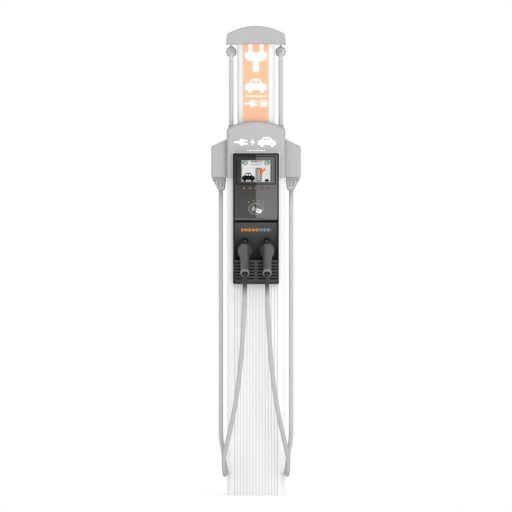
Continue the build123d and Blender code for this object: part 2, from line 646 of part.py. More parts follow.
# ---- all the parts ----
save("base_plate", base_plate())
save("base_brackets", base_bracket(), mirrored(base_bracket()))
save("lower_pole", lower_pole())
save("upper_pole", upper_pole())
save("pole_collars", *pole_collars())
save("sign_panel", sign_panel())
save("sign_lens", sign_lens())
save("top_cap", top_cap())
save("pulley_frame", pulley_frame())
save("pulley_axles", pulley_axle(), mirrored(pulley_axle()))
save_pair("pulley", pulley())
save_pair("retractor_wire", retractor_wire())
save_pair("cable_clamp", cable_clamp())
save_pair("cable_bend", cable_bend())
save_pair("cable_legs", *cable_legs())
save_pair("counterweight", counterweight())
save("inner_cables", *inner_cables())
save("head_front", head_front())
save("head_back", head_back())
save("cable_grommets", *cable_grommets())
save_pair("side_arm", side_arm())
save_pair("arm_boot", arm_boot())
save("fascia_chassis", fascia_chassis())
save("display_panel", display_panel())
save("display_gasket", display_gasket())
save("display_bezel", display_bezel())
save("display_lens", display_lens())
save("lcd_module", lcd_module())
save("control_board", control_board())
save("status_leds", *[status_led(x, z) for x, z in LED_PLACES])
save("card_reader", card_reader())
save("holster_panel", holster_panel())
save("vent_grille", vent_grille())
save("power_module", power_module())
save("cover_screws", *cover_screws())
save_pair("holster", holster())
save_pair("connector_nose", connector_nose())
save_pair("connector_body", connector_body())
save_pair("latch_lever", latch_lever())
save_pair("connector_rings", *connector_rings())
save_pair("charging_cable", charging_cable())
for number, x in enumerate(button_places(), 1):
    save(f"button_{number}", push_button(x))
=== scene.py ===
import json
from math import atan2, cos, pi, radians, sin

import bmesh
import bpy
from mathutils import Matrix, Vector
from mathutils.bvhtree import BVHTree
from mathutils.geometry import tessellate_polygon


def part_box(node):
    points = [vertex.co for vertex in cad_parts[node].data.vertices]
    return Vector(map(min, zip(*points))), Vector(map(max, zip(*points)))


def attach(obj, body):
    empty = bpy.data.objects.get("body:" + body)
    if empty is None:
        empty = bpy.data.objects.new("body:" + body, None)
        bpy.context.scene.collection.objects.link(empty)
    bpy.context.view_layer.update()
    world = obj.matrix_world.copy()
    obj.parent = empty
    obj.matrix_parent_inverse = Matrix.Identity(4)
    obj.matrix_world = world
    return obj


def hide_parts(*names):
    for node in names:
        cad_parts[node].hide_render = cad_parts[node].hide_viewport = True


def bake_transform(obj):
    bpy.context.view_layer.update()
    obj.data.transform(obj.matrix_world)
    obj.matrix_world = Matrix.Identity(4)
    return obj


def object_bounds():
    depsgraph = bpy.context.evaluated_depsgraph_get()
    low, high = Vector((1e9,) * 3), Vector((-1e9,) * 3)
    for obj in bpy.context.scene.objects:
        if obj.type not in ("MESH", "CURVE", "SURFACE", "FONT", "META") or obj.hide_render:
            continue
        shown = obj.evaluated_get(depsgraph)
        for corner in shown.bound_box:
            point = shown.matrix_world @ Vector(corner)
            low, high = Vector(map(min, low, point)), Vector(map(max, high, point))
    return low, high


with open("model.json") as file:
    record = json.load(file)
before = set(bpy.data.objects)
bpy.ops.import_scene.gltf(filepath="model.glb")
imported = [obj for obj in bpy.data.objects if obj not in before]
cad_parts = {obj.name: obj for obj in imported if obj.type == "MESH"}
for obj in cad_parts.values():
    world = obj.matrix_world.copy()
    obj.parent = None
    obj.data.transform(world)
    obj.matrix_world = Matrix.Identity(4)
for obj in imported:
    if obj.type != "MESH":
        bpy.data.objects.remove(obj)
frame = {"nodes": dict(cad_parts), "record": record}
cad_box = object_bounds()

NODES = frame["nodes"]
SIDES = (("left", -1), ("right", 1))
MM = 0.001


# ---------------------------------------------------------------- camera, lights, stage
def make_camera():
    """A long lens far in front, level with the middle of the post, as in a catalogue picture."""
    height = cad_box[1].z - cad_box[0].z
    distance, sensor = 30.0, 36.0
    frame_height = height * 1.093
    camera = bpy.data.objects.new("camera", bpy.data.cameras.new("camera"))
    bpy.context.scene.collection.objects.link(camera)
    camera.location = (0, -distance, height * 0.51)
    camera.rotation_euler = (radians(90), 0, 0)
    camera.data.sensor_width = sensor
    camera.data.lens = sensor * distance / frame_height
    camera.data.clip_start, camera.data.clip_end = 1.0, 100.0
    bpy.context.scene.camera = camera


def make_world(strength):
    world = bpy.data.worlds.new("studio")
    bpy.context.scene.world = world
    world.use_nodes = True
    background = world.node_tree.nodes["Background"]
    background.inputs["Color"].default_value = (1, 1, 1, 1)
    background.inputs["Strength"].default_value = strength


def softbox(name, centre, target, width, height, radiance):
    light = bpy.data.lights.new(name, "AREA")
    light.shape, light.size, light.size_y = "RECTANGLE", width, height
    light.energy = radiance * pi * width * height
    lamp = bpy.data.objects.new(name, light)
    lamp.location = centre
    lamp.rotation_euler = (Vector(target) - Vector(centre)).to_track_quat("-Z", "Y").to_euler()
    lamp.visible_camera = False
    bpy.context.scene.collection.objects.link(lamp)


def make_stage():
    make_world(1.0)
    softbox("key_right", (1.15, -3.5, 1.1), (0.75, 0, 1.0), 2.2, 3.2, 2.6)
    mesh = bpy.data.meshes.new("floor")
    ring = [(2.0 * cos(2 * pi * i / 96), 2.0 * sin(2 * pi * i / 96), 0) for i in range(96)]
    mesh.from_pydata(ring, [], [range(96)])
    floor = bpy.data.objects.new("floor", mesh)
    bpy.context.scene.collection.objects.link(floor)
    floor.data.materials.append(surface("floor_white", (0.92, 0.92, 0.92), 0.9, specular=0.1, emission=0.1))
    bpy.context.scene.view_settings.view_transform = "Standard"


# ---------------------------------------------------------------- materials
def surface(name, colour, roughness, specular=0.5, grain=0.0, grain_size=0.0015, mottle=0.03, metallic=0.0,
            coat=0.0, alpha=1.0, emission=0.0):
    """A paint, plastic, rubber or metal: its colour mottled a little, with a fine grain in its surface."""
    material = bpy.data.materials.new(name)
    material.use_nodes = True
    nodes, links = material.node_tree.nodes, material.node_tree.links
    shader = nodes["Principled BSDF"]
    shader.inputs["Metallic"].default_value = metallic
    shader.inputs["Specular IOR Level"].default_value = specular
    shader.inputs["Coat Weight"].default_value = coat
    shader.inputs["Coat Roughness"].default_value = 0.04
    shader.inputs["Alpha"].default_value = alpha
    place = nodes.new("ShaderNodeTexCoord")
    cloud = nodes.new("ShaderNodeTexNoise")
    cloud.inputs["Scale"].default_value = 9.0
    cloud.inputs["Detail"].default_value = 5.0
    links.new(place.outputs["Object"], cloud.inputs["Vector"])
    tint = nodes.new("ShaderNodeValToRGB")
    low, high = tint.color_ramp.elements
    low.position, high.position = 0.3, 0.7
    low.color = (*[c * (1 - mottle) for c in colour], 1)
    high.color = (*[min(1.0, c * (1 + mottle)) for c in colour], 1)
    links.new(cloud.outputs["Fac"], tint.inputs["Fac"])
    links.new(tint.outputs["Color"], shader.inputs["Base Color"])
    gloss = nodes.new("ShaderNodeMapRange")
    gloss.inputs["To Min"].default_value = roughness * 0.93
    gloss.inputs["To Max"].default_value = min(1.0, roughness * 1.07)
    links.new(cloud.outputs["Fac"], gloss.inputs["Value"])
    links.new(gloss.outputs["Result"], shader.inputs["Roughness"])
    if grain:
        speck = nodes.new("ShaderNodeTexNoise")
        speck.inputs["Scale"].default_value = 1.0 / grain_size
        speck.inputs["Detail"].default_value = 3.0
        links.new(place.outputs["Object"], speck.inputs["Vector"])
        bump = nodes.new("ShaderNodeBump")
        bump.inputs["Strength"].default_value = grain
        bump.inputs["Distance"].default_value = 0.0003
        links.new(speck.outputs["Fac"], bump.inputs["Height"])
        links.new(bump.outputs["Normal"], shader.inputs["Normal"])
    if emission:
        links.new(tint.outputs["Color"], shader.inputs["Emission Color"])
        shader.inputs["Emission Strength"].default_value = emission
    return material


def tone(material, socket, axis, start, end, low, high, attribute=None, within=None):
    """Paint light and shade into a material: scale its colour from low to high as a coordinate or a mesh
    attribute goes from start to end.

    A coordinate counts by its size, so both halves of the post get the same tone.
    within keeps the tone to the part of the object that is at most that far from its middle along X.
    """
    nodes, links = material.node_tree.nodes, material.node_tree.links
    base = nodes["Principled BSDF"].inputs["Base Color"]
    before = base.links[0].from_socket
    if attribute:
        reader = nodes.new("ShaderNodeAttribute")
        reader.attribute_name = attribute
        value = reader.outputs["Fac"]
    else:
        place = nodes.new("ShaderNodeTexCoord")
        split = nodes.new("ShaderNodeSeparateXYZ")
        links.new(place.outputs[socket], split.inputs["Vector"])
        size = nodes.new("ShaderNodeMath")
        size.operation = "ABSOLUTE"
        links.new(split.outputs[axis], size.inputs[0])
        value = size.outputs["Value"]
    ramp = nodes.new("ShaderNodeMapRange")
    ramp.interpolation_type = "SMOOTHSTEP"
    for name, number in (("From Min", start), ("From Max", end), ("To Min", low), ("To Max", high)):
        ramp.inputs[name].default_value = number
    links.new(value, ramp.inputs["Value"])
    factor = ramp.outputs["Result"]
    if within:
        beside = nodes.new("ShaderNodeMath")
        beside.operation = "ABSOLUTE"
        links.new(split.outputs["X"], beside.inputs[0])
        outside = nodes.new("ShaderNodeMath")
        outside.operation = "GREATER_THAN"
        outside.inputs[1].default_value = within
        links.new(beside.outputs["Value"], outside.inputs[0])
        either = nodes.new("ShaderNodeMath")
        either.operation = "MAXIMUM"
        links.new(factor, either.inputs[0])
        links.new(outside.outputs["Value"], either.inputs[1])
        factor = either.outputs["Value"]
    scaled = nodes.new("ShaderNodeVectorMath")
    scaled.operation = "SCALE"
    links.new(before, scaled.inputs[0])
    links.new(factor, scaled.inputs["Scale"])
    links.new(scaled.outputs["Vector"], base)


PAINTS = {
    "pole_white": dict(colour=(0.74, 0.74, 0.745), roughness=0.35, specular=0.4, grain=0.12, mottle=0.012),
    "mast_white": dict(colour=(0.76, 0.76, 0.77), roughness=0.12, specular=0.5, mottle=0.01, coat=0.3),
    "cover_grey": dict(colour=(0.385, 0.385, 0.385), roughness=0.42, specular=0.35, grain=0.2, mottle=0.02),
    # The clamp balls glow a little: painted light that lifts their shade.
    "clamp_grey": dict(colour=(0.40, 0.40, 0.40), roughness=0.5, specular=0.3, grain=0.2, emission=0.22),
    "boot_rubber": dict(colour=(0.40, 0.40, 0.40), roughness=0.55, specular=0.3, grain=0.25),
    "cable_jacket": dict(colour=(0.47, 0.47, 0.47), roughness=0.5, specular=0.3, grain=0.15),
    "fascia_black": dict(colour=(0.007, 0.007, 0.007), roughness=0.5, specular=0.12, grain=0.15),
    "display_black": dict(colour=(0.026, 0.026, 0.026), roughness=0.06, specular=0.5, mottle=0.02),
    "grille_black": dict(colour=(0.030, 0.030, 0.030), roughness=0.5, specular=0.3, grain=0.2),
    "module_black": dict(colour=(0.006, 0.006, 0.006), roughness=0.4, specular=0.3, grain=0.15),
    "connector_grey": dict(colour=(0.075, 0.075, 0.075), roughness=0.5, specular=0.4, grain=0.4,
                           grain_size=0.0009),
    "ring_grey": dict(colour=(0.17, 0.17, 0.17), roughness=0.45, specular=0.4, grain=0.3),
    "black_rubber": dict(colour=(0.004, 0.004, 0.004), roughness=0.6, specular=0.15, grain=0.2),
    "button_dark": dict(colour=(0.050, 0.062, 0.085), roughness=0.35, specular=0.2),
    "led_green": dict(colour=(0.18, 0.42, 0.03), roughness=0.3, specular=0.2, emission=0.3),
    "lcd_face": dict(colour=(0.02, 0.02, 0.02), roughness=0.3, mottle=0.01),
    "clear_cover": dict(colour=(0.02, 0.02, 0.02), roughness=0.05, specular=0.5, alpha=0.06, mottle=0.0),
    # The orange sign glows a little: painted light.
    "sign_orange": dict(colour=(0.86, 0.46, 0.27), roughness=0.4, specular=0.3, mottle=0.01, emission=0.22),
    "circuit_board": dict(colour=(0.01, 0.12, 0.04), roughness=0.4),
    "sheave_nylon": dict(colour=(0.6, 0.59, 0.55), roughness=0.4, grain=0.1),
    "cast_bracket": dict(colour=(0.6, 0.6, 0.6), roughness=0.45, metallic=0.9, grain=0.3),
    "zinc_steel": dict(colour=(0.6, 0.6, 0.58), roughness=0.4, metallic=0.9, grain=0.15, mottle=0.08),
    "bright_steel": dict(colour=(0.62, 0.62, 0.62), roughness=0.4, metallic=0.6, mottle=0.04),
}
MARKS = {
    # The white marks glow a little: painted light.
    "mark_white": dict(colour=(0.95, 0.95, 0.95), roughness=0.5, specular=0.3, mottle=0.01, emission=0.1),
    # Pale marks: print on the tap card and waves, and painted highlight on the notch edging and on the boot
    # bridges.
    "pale_print_and_highlight": dict(colour=(0.62, 0.62, 0.62), roughness=0.5, specular=0.3, mottle=0.02),
    "mark_grey": dict(colour=(0.33, 0.33, 0.33), roughness=0.5, specular=0.3, mottle=0.02),
    # Dark plates in the boots' slots: painted shade.
    "slot_shade": dict(colour=(0.22, 0.22, 0.22), roughness=0.6, specular=0.2, mottle=0.02),
    "mark_dark": dict(colour=(0.05, 0.05, 0.05), roughness=0.5, specular=0.3, mottle=0.02),
    # Paler strip on the display panel's lower lip: painted highlight.
    "lip_highlight": dict(colour=(0.12, 0.12, 0.12), roughness=0.4, specular=0.3, mottle=0.02),
    # The orange accent bars glow a little: painted light.
    "mark_orange": dict(colour=(0.52, 0.17, 0.010), roughness=0.4, specular=0.3, mottle=0.02, emission=0.1),
    "mark_ember": dict(colour=(0.42, 0.150, 0.001), roughness=0.5, specular=0.0, mottle=0.02),
    "mark_blue": dict(colour=(0.15, 0.22, 0.28), roughness=0.4, specular=0.3, mottle=0.02),
    "screen_light": dict(colour=(0.52, 0.52, 0.52), roughness=0.6, specular=0.2, mottle=0.05, emission=0.4),
    "screen_grey": dict(colour=(0.12, 0.12, 0.12), roughness=0.6, specular=0.2, emission=0.1),
    "screen_dark": dict(colour=(0.004, 0.004, 0.004), roughness=0.6, specular=0.0),
    "screen_green": dict(colour=(0.02, 0.20, 0.03), roughness=0.6, specular=0.05, emission=0.1),
    "screen_orange": dict(colour=(0.62, 0.16, 0.05), roughness=0.6, specular=0.05, emission=0.1),
    "screen_arrow": dict(colour=(0.72, 0.105, 0.000), roughness=0.6, specular=0.0, emission=0.2),
}


def paint_nodes():
    materials = {name: surface(name, **facts) for name, facts in PAINTS.items()}
    for part in frame["record"]["subparts"]:
        node = NODES[part["node"]]
        node.data.materials.clear()
        node.data.materials.append(materials[part["material_slot"]])
    materials.update({name: surface(name, **facts) for name, facts in MARKS.items()})
    shade_paints(materials)
    return materials


def shade_paints(materials):
    """Painted light and shade that follow the object's own shape: painted shade in grooves, slots and on
    edges, painted shade down the holster panel, a glow on the cable bends, and the cable's dark end.
    """
    # Painted shade: the covers, the clamp balls and the boots are darker where their surface turns away from
    # the front and back.
    for name in ("cover_grey", "clamp_grey", "boot_rubber"):
        tone(materials[name], "Normal", "Y", 0.35, 0.95, 0.72, 1.0)
    # Painted shade: the cable is darker along its sides.
    tone(materials["cable_jacket"], "Normal", "Y", 0.1, 0.85, 0.78, 1.0)
    # Painted light and shade: the display panel is lighter at its bottom and darker towards its top.
    low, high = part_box("display_panel")
    tone(materials["display_black"], "Object", "Z", low.z, high.z, 1.3, 0.25)
    # Painted light and shade: the grip is darker on its sides and on its inner side, and lighter on its outer
    # side.
    tone(materials["connector_grey"], "Normal", "Y", 0.05, 0.80, 0.80, 1.0)
    tone(materials["connector_grey"], "Object", "X", 0.024, 0.060, 0.66, 1.12)
    # Painted light: the clamp balls are lighter on their front.
    ball_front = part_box("cable_clamp_left")[1].y
    tone(materials["clamp_grey"], "Object", "Y", ball_front - 0.007, ball_front, 1.0, 1.22)
    # Painted shade: the vent grille is dark inside its slots and a little lighter on its front face.
    grille_front = -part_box("vent_grille")[0].y
    tone(materials["grille_black"], "Object", "Y", grille_front - 0.0025, grille_front - 0.0008, 0.1, 1.25)
    # Painted shade: the pole's flutes are darker at their bottoms.
    front = -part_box("lower_pole")[0].y
    tone(materials["pole_white"], "Object", "Y", front - 0.0021, front - 0.0004, 0.80, 1.0, within=0.0846)
    # Painted shade: the holster panel gets dark towards its bottom.
    dark = surface("holster_shade", (0.052, 0.052, 0.052), 0.5, specular=0.15, grain=0.15)
    low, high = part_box("holster_panel")
    tone(dark, "Object", "Z", low.z, high.z, 0.08, 1.0)
    NODES["holster_panel"].data.materials[0] = dark
    # Painted shade: the latch lever is darker at its top.
    latch = surface("latch_top_shade", (0.035, 0.035, 0.035), 0.40, specular=0.15, mottle=0.05)
    low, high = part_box("latch_lever_left")
    tone(latch, "Object", "Z", high.z - 0.012, high.z - 0.004, 1.0, 0.15)
    jacket = PAINTS["cable_jacket"]
    # Painted light: the cable bends in the clamps glow a little.
    bend = surface("bend_jacket_glow", emission=0.12, **jacket)
    for side, _ in SIDES:
        NODES[f"latch_lever_{side}"].data.materials[0] = latch
        NODES[f"cable_bend_{side}"].data.materials[0] = bend
    # Painted shade: the free cable is darker along its sides and a little darker along its front run up to
    # the handle; it is also much darker over its last 55 to 125 mm towards the handle.
    materials["cable_fade_and_shade"] = surface("cable_fade_and_shade", **jacket)
    tone(materials["cable_fade_and_shade"], "Normal", "Y", 0.1, 0.85, 0.78, 1.0)
    tone(materials["cable_fade_and_shade"], None, None, 0.055, 0.125, 0.065, 1.0, attribute="from_handle")
    tone(materials["cable_fade_and_shade"], None, None, 0.85, 1.15, 0.84, 1.0, attribute="from_handle")


# ---------------------------------------------------------------- mesh helpers
def add_mesh(name, vertices, faces, material, body="root", smooth=True):
    mesh = bpy.data.meshes.new(name)
    mesh.from_pydata([tuple(v) for v in vertices], [], [tuple(f) for f in faces])
    mesh.update()
    piece = bpy.data.objects.new(name, mesh)
    bpy.context.scene.collection.objects.link(piece)
    mesh.materials.append(MATERIALS[material])
    if smooth:
        mesh.shade_smooth()
    if body:
        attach(piece, body)
    return piece


def tube_mesh(line, radius, segments=28, caps=True):
    """Rings of points round a line, without twist."""
    line = [Vector(p) for p in line]
    last = len(line) - 1
    tangents = [(line[min(i + 1, last)] - line[max(i - 1, 0)]).normalized() for i in range(len(line))]
    across = tangents[0].orthogonal().normalized()
    vertices, faces = [], []
    for point, tangent in zip(line, tangents):
        across = (across - tangent * across.dot(tangent)).normalized()
        other = tangent.cross(across)
        for k in range(segments):
            a = 2 * pi * k / segments
            vertices.append(point + (across * cos(a) + other * sin(a)) * radius)
    for i in range(len(line) - 1):
        for k in range(segments):
            n = (k + 1) % segments
            faces.append((i * segments + k, i * segments + n, (i + 1) * segments + n, (i + 1) * segments + k))
    if caps:
        faces.append(tuple(reversed(range(segments))))
        faces.append(tuple(range((len(line) - 1) * segments, len(line) * segments)))
    return vertices, faces


# ---------------------------------------------------------------- cables
# The free cable's route from the boot to the handle on the +X side, in metres, as the CAD has it.
CABLE_ROUTE = [
    (0.1357, 0, 1.1746),
    (0.1357, 0, 0.340),
    (0.1357, 0, 0.268),
    (0.1352, -0.0005, 0.216),
    (0.1240, -0.0035, 0.159),
    (0.1208, -0.024, 0.110),
    (0.1198, -0.064, 0.082),
    (0.119, -0.111, 0.080),
    (0.1222, -0.1515, 0.101),
    (0.1242, -0.177, 0.139),
    (0.1165, -0.1855, 0.182),
    (0.1045, -0.188, 0.232),
    (0.089, -0.192, 0.300),
    (0.072, -0.200, 0.395),
    (0.058, -0.211, 0.515),
    (0.0495, -0.225, 0.635),
    (0.046, -0.236, 0.705),
    (0.044, -0.2405, 0.760),
    (0.043, -0.2325, 0.800),
    (0.0425, -0.2133, 0.8334),
    (0.0425, -0.1873, 0.8577),
]
CABLE_DIAMETER = 0.017


def spline_points(name, route):
    """Points along the smooth NURBS line that has the route as its control points."""
    curve = bpy.data.curves.new(name, "CURVE")
    curve.dimensions = "3D"
    spline = curve.splines.new("NURBS")
    spline.points.add(len(route) - 1)
    for point, place in zip(spline.points, route):
        point.co = (*place, 1)
    spline.order_u = 3
    spline.use_endpoint_u = True
    spline.resolution_u = 24
    holder = bpy.data.objects.new(name, curve)
    mesh = bpy.data.meshes.new_from_object(holder)
    line = [v.co.copy() for v in mesh.vertices]
    bpy.data.objects.remove(holder)
    return line


def charging_cable(side, sign, connector):
    route = [(sign * x, y, z) for x, y, z in CABLE_ROUTE]
    line = spline_points(f"route_{side}", route)
    segments = 28
    vertices, faces = tube_mesh(line, CABLE_DIAMETER / 2, segments)
    cable = add_mesh(f"free_cable_{side}", vertices, faces, "cable_fade_and_shade", body=None)
    length = sum((b - a).length for a, b in zip(line, line[1:]))
    left = length
    shade = cable.data.attributes.new("from_handle", "FLOAT", "POINT")
    for i, point in enumerate(line):
        left -= (point - line[max(i - 1, 0)]).length
        for k in range(segments):
            shade.data[i * segments + k].value = left
    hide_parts(f"charging_cable_{side}")
    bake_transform(cable)


# ---------------------------------------------------------------- connectors
def lathe(name, centre, axis, profile, material, body, segments=56):
    """A ring turned about an axis. The profile is closed, as (distance along, radius) in metres."""
    axis = Vector(axis).normalized()
    across = Vector((1, 0, 0))
    other = axis.cross(across)
    count = len(profile)
    vertices = [Vector(centre) + axis * along + (across * cos(2 * pi * k / segments)
                + other * sin(2 * pi * k / segments)) * radius
                for k in range(segments) for along, radius in profile]
    faces = []
    for k in range(segments):
        for i in range(count):
            here, there = k * count, (k + 1) % segments * count
            faces.append((here + i, here + (i + 1) % count, there + (i + 1) % count, there + i))
    piece = add_mesh(name, vertices, faces, material, body)
    mend_normals(piece)
    return piece


def mend_normals(piece):
    mend = bmesh.new()
    mend.from_mesh(piece.data)
    bmesh.ops.recalc_face_normals(mend, faces=mend.faces)
    mend.to_mesh(piece.data)
    mend.free()


def swelling(shape, centre, radii):
    """Adds an ellipsoid to a bmesh, to be melted into the rest."""
    made = bmesh.ops.create_icosphere(shape, subdivisions=4, radius=1.0)
    for v in made["verts"]:
        v.co = Vector([middle + radius * part for middle, radius, part in zip(centre, radii, v.co)])


def melted(name, shape, voxel, smoothing, material, body):
    """One smooth skin over everything in the shape."""
    rough = bpy.data.meshes.new(name)
    shape.to_mesh(rough)
    shape.free()
    holder = bpy.data.objects.new(name + "_rough", rough)
    bpy.context.scene.collection.objects.link(holder)
    remesh = holder.modifiers.new("skin", "REMESH")
    remesh.mode, remesh.voxel_size = "VOXEL", voxel
    smooth = holder.modifiers.new("melt", "SMOOTH")
    smooth.factor, smooth.iterations = 0.5, smoothing
    graph = bpy.context.evaluated_depsgraph_get()
    mesh = bpy.data.meshes.new_from_object(holder.evaluated_get(graph), depsgraph=graph)
    bpy.data.objects.remove(holder)
    vertices = [v.co.copy() for v in mesh.vertices]
    return add_mesh(name, vertices, [tuple(f.vertices) for f in mesh.polygons], material, body)


def connector_grip(side, sign):
    """The connector's skin: guard, spine and handle flow into each other without a crease."""
    shape = bmesh.new()
    shape.from_mesh(NODES[f"connector_body_{side}"].data)
    x = sign * 0.0425
    for offset in (-1, 1):
        swelling(shape, (x + offset * 0.0160, -0.130, 0.940), (0.0112, 0.018, 0.024))
        swelling(shape, (x + offset * 0.008, -0.142, 0.927), (0.0125, 0.016, 0.032))
    swelling(shape, (x, -0.147, 0.945), (0.0135, 0.016, 0.026))
    grip = melted(f"connector_grip_{side}", shape, 0.0012, 9, "connector_grey", f"connector_{side}")
    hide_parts(f"connector_body_{side}")
    knob, knob_tilt = (x, -0.141, 0.977), radians(22)
    ring = [(0.0032, 0.0113), (0.0032, 0.0136), (0.0052, 0.0141), (0.0078, 0.0141), (0.0089, 0.0134),
            (0.0091, 0.0124), (0.0086, 0.0115)]
    thumb = lathe(f"thumb_ring_{side}", knob, (0, -cos(knob_tilt), sin(knob_tilt)), ring, "black_rubber",
                  f"connector_{side}")
    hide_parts(f"connector_rings_{side}")
    slope = radians(43)
    end = (x, -0.187, 0.858)
    collar = [(-0.006, 0.0100), (-0.006, 0.0160), (-0.001, 0.0171), (0.004, 0.0174), (0.0075, 0.0168),
              (0.009, 0.0154), (0.0088, 0.0138), (0.0072, 0.0125), (0.003, 0.0105)]
    ring = lathe(f"cable_collar_{side}", end, (0, -cos(slope), -sin(slope)), collar, "ring_grey",
                 f"connector_{side}")
    return [grip, thumb, ring]


def upper_cables(side):
    low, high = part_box(f"cable_legs_{side}")
    bottom, top = 1.325, high.z
    x = (low.x + high.x) / 2
    reach = (high.y - low.y) / 2 - CABLE_DIAMETER / 2
    vertices, faces = [], []
    for y in (-reach, reach):
        steps = 60
        line = [(x, y, bottom + (top - bottom) * i / steps) for i in range(steps + 1)]
        some, more = tube_mesh(line, CABLE_DIAMETER / 2)
        faces += [tuple(i + len(vertices) for i in f) for f in more]
        vertices += some
    legs = add_mesh(f"upper_cable_{side}", vertices, faces, "cable_jacket", body=None)
    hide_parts(f"cable_legs_{side}")
    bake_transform(legs)


def retractor_wires(side, sign):
    low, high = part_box(f"retractor_wire_{side}")
    wheel_low, wheel_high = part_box(f"pulley_{side}")
    axle = (wheel_low + wheel_high) / 2
    radius = (high.x - low.x) / 2 - 0.0015
    clamp_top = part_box(f"cable_clamp_{side}")[1].z
    weight_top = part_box(f"counterweight_{side}")[1].z
    outer, inner = axle.x + sign * radius, axle.x - sign * radius
    over = [(axle.x + sign * radius * cos(a), 0, axle.z + radius * sin(a)) for a in
            [pi * i / 24 for i in range(25)]]
    vertices, faces = tube_mesh(over, 0.0015, 10)
    arc = add_mesh(f"wire_over_sheave_{side}", vertices, faces, "bright_steel")
    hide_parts(f"retractor_wire_{side}")
    for name, body, x, end in (("outer", "clamp", outer, clamp_top), ("inner", "weight", inner, weight_top)):
        line = [(x, 0, axle.z + (end - axle.z) * i / 40) for i in range(41)]
        vertices, faces = tube_mesh(line, 0.0015, 10)
        wire = add_mesh(f"wire_{name}_{side}", vertices, faces, "bright_steel", body=None)
        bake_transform(wire)


# ---------------------------------------------------------------- flat graphics
def ring_of(cx, cz, rx, rz=None, n=48):
    rz = rz or rx
    return [(cx + rx * cos(2 * pi * i / n), cz + rz * sin(2 * pi * i / n)) for i in range(n)]


def rounded(cx, cz, width, height, r, n=6):
    """A rectangle with round corners, anticlockwise."""
    points = []
    for corner, (sx, sz) in enumerate(((1, 1), (-1, 1), (-1, -1), (1, -1))):
        mx, mz = cx + sx * (width / 2 - r), cz + sz * (height / 2 - r)
        for i in range(n + 1):
            a = pi / 2 * (corner + i / n)
            points.append((mx + r * cos(a), mz + r * sin(a)))
    return points


def capsule(x0, z0, x1, z1, width, n=8):
    """A thick line with round ends."""
    a = atan2(z1 - z0, x1 - x0)
    r = width / 2
    ends = [(x1, z1, a - pi / 2), (x0, z0, a + pi / 2)]
    return [(x + r * cos(start + pi * i / n), z + r * sin(start + pi * i / n))
            for x, z, start in ends for i in range(n + 1)]


def placed(points, cx, cz, size):
    return [(cx + x * size, cz + z * size) for x, z in points]


BOLT = [(0.12, 0.5), (-0.30, -0.06), (-0.02, -0.06), (-0.12, -0.5), (0.30, 0.08), (0.02, 0.08)]
CAR = [(-0.5, -0.12), (-0.5, 0.04), (-0.44, 0.10), (-0.30, 0.13), (-0.17, 0.27), (0.14, 0.27), (0.29, 0.12),
       (0.43, 0.08), (0.5, 0.0), (0.5, -0.12)]


def car_shapes(cx, cz, size):
    """A plain car from the side: body with two windows, and two wheels."""
    body = placed(CAR, cx, cz, size)
    rear_window = placed([(-0.24, 0.12), (-0.15, 0.22), (-0.03, 0.22), (-0.03, 0.12)], cx, cz, size)
    front_window = placed([(0.02, 0.12), (0.02, 0.22), (0.12, 0.22), (0.21, 0.12)], cx, cz, size)
    wheels = [ring_of(cx + size * x, cz - 0.13 * size, 0.09 * size, n=28) for x in (-0.28, 0.29)]
    return [[body, rear_window, front_window], [wheels[0]], [wheels[1]]]


def plug_shapes(cx, cz, size):
    """A plug with two prongs, its lead to the left."""
    body = rounded(cx, cz, 0.42 * size, 0.56 * size, 0.16 * size)
    prongs = [rounded(cx + 0.34 * size, cz + z * size, 0.34 * size, 0.1 * size, 0.04 * size)
              for z in (-0.14, 0.14)]
    lead = capsule(cx - 0.2 * size, cz, cx - 0.62 * size, cz, 0.14 * size)
    return [[body], [prongs[0]], [prongs[1]], [lead]]


def plate(name, shapes, material, depth_at, body="root", thickness=0.00015, lift=0.00004, folds=()):
    """Thin closed plates draped on a surface: each shape is an outline and its holes, as (x, z) points."""
    flat = bmesh.new()
    for level, loops in enumerate(shapes):
        step = level * 0.000004
        points = [p for loop in loops for p in loop]
        front = [flat.verts.new((x, -thickness - step, z)) for x, z in points]
        back = [flat.verts.new((x, 0, z)) for x, z in points]
        for corners in tessellate_polygon([[Vector((x, z, 0)) for x, z in loop] for loop in loops]):
            flat.faces.new([front[i] for i in corners])
            flat.faces.new([back[i] for i in reversed(corners)])
        first = 0
        for loop in loops:
            n = len(loop)
            for i in range(n):
                here, there = first + i, first + (i + 1) % n
                flat.faces.new((front[here], back[here], back[there], front[there]))
            first += n
    bmesh.ops.recalc_face_normals(flat, faces=flat.faces)
    for x in folds:
        geometry = flat.verts[:] + flat.edges[:] + flat.faces[:]
        bmesh.ops.bisect_plane(flat, geom=geometry, plane_co=(x, 0, 0), plane_no=(1, 0, 0), dist=1e-7)
    for v in flat.verts:
        v.co.y += depth_at(v.co.x, v.co.z) - lift
    piece = add_mesh(name, [], [], material, body, smooth=False)
    flat.to_mesh(piece.data)
    flat.free()
    return piece


def millimetres(shapes):
    return [[[(x * MM, z * MM) for x, z in loop] for loop in loops] for loops in shapes]


def panel_depth(x, z):
    """The display panel's front face, which folds along its middle."""
    ridge, fold_depth, half_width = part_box("display_panel")[0].y, 0.0032, 0.0822
    return ridge + fold_depth * abs(x) / half_width


def stretched(shapes, cz, factor):
    return [[[(x, cz + (z - cz) * factor) for x, z in loop] for loop in loops] for loops in shapes]


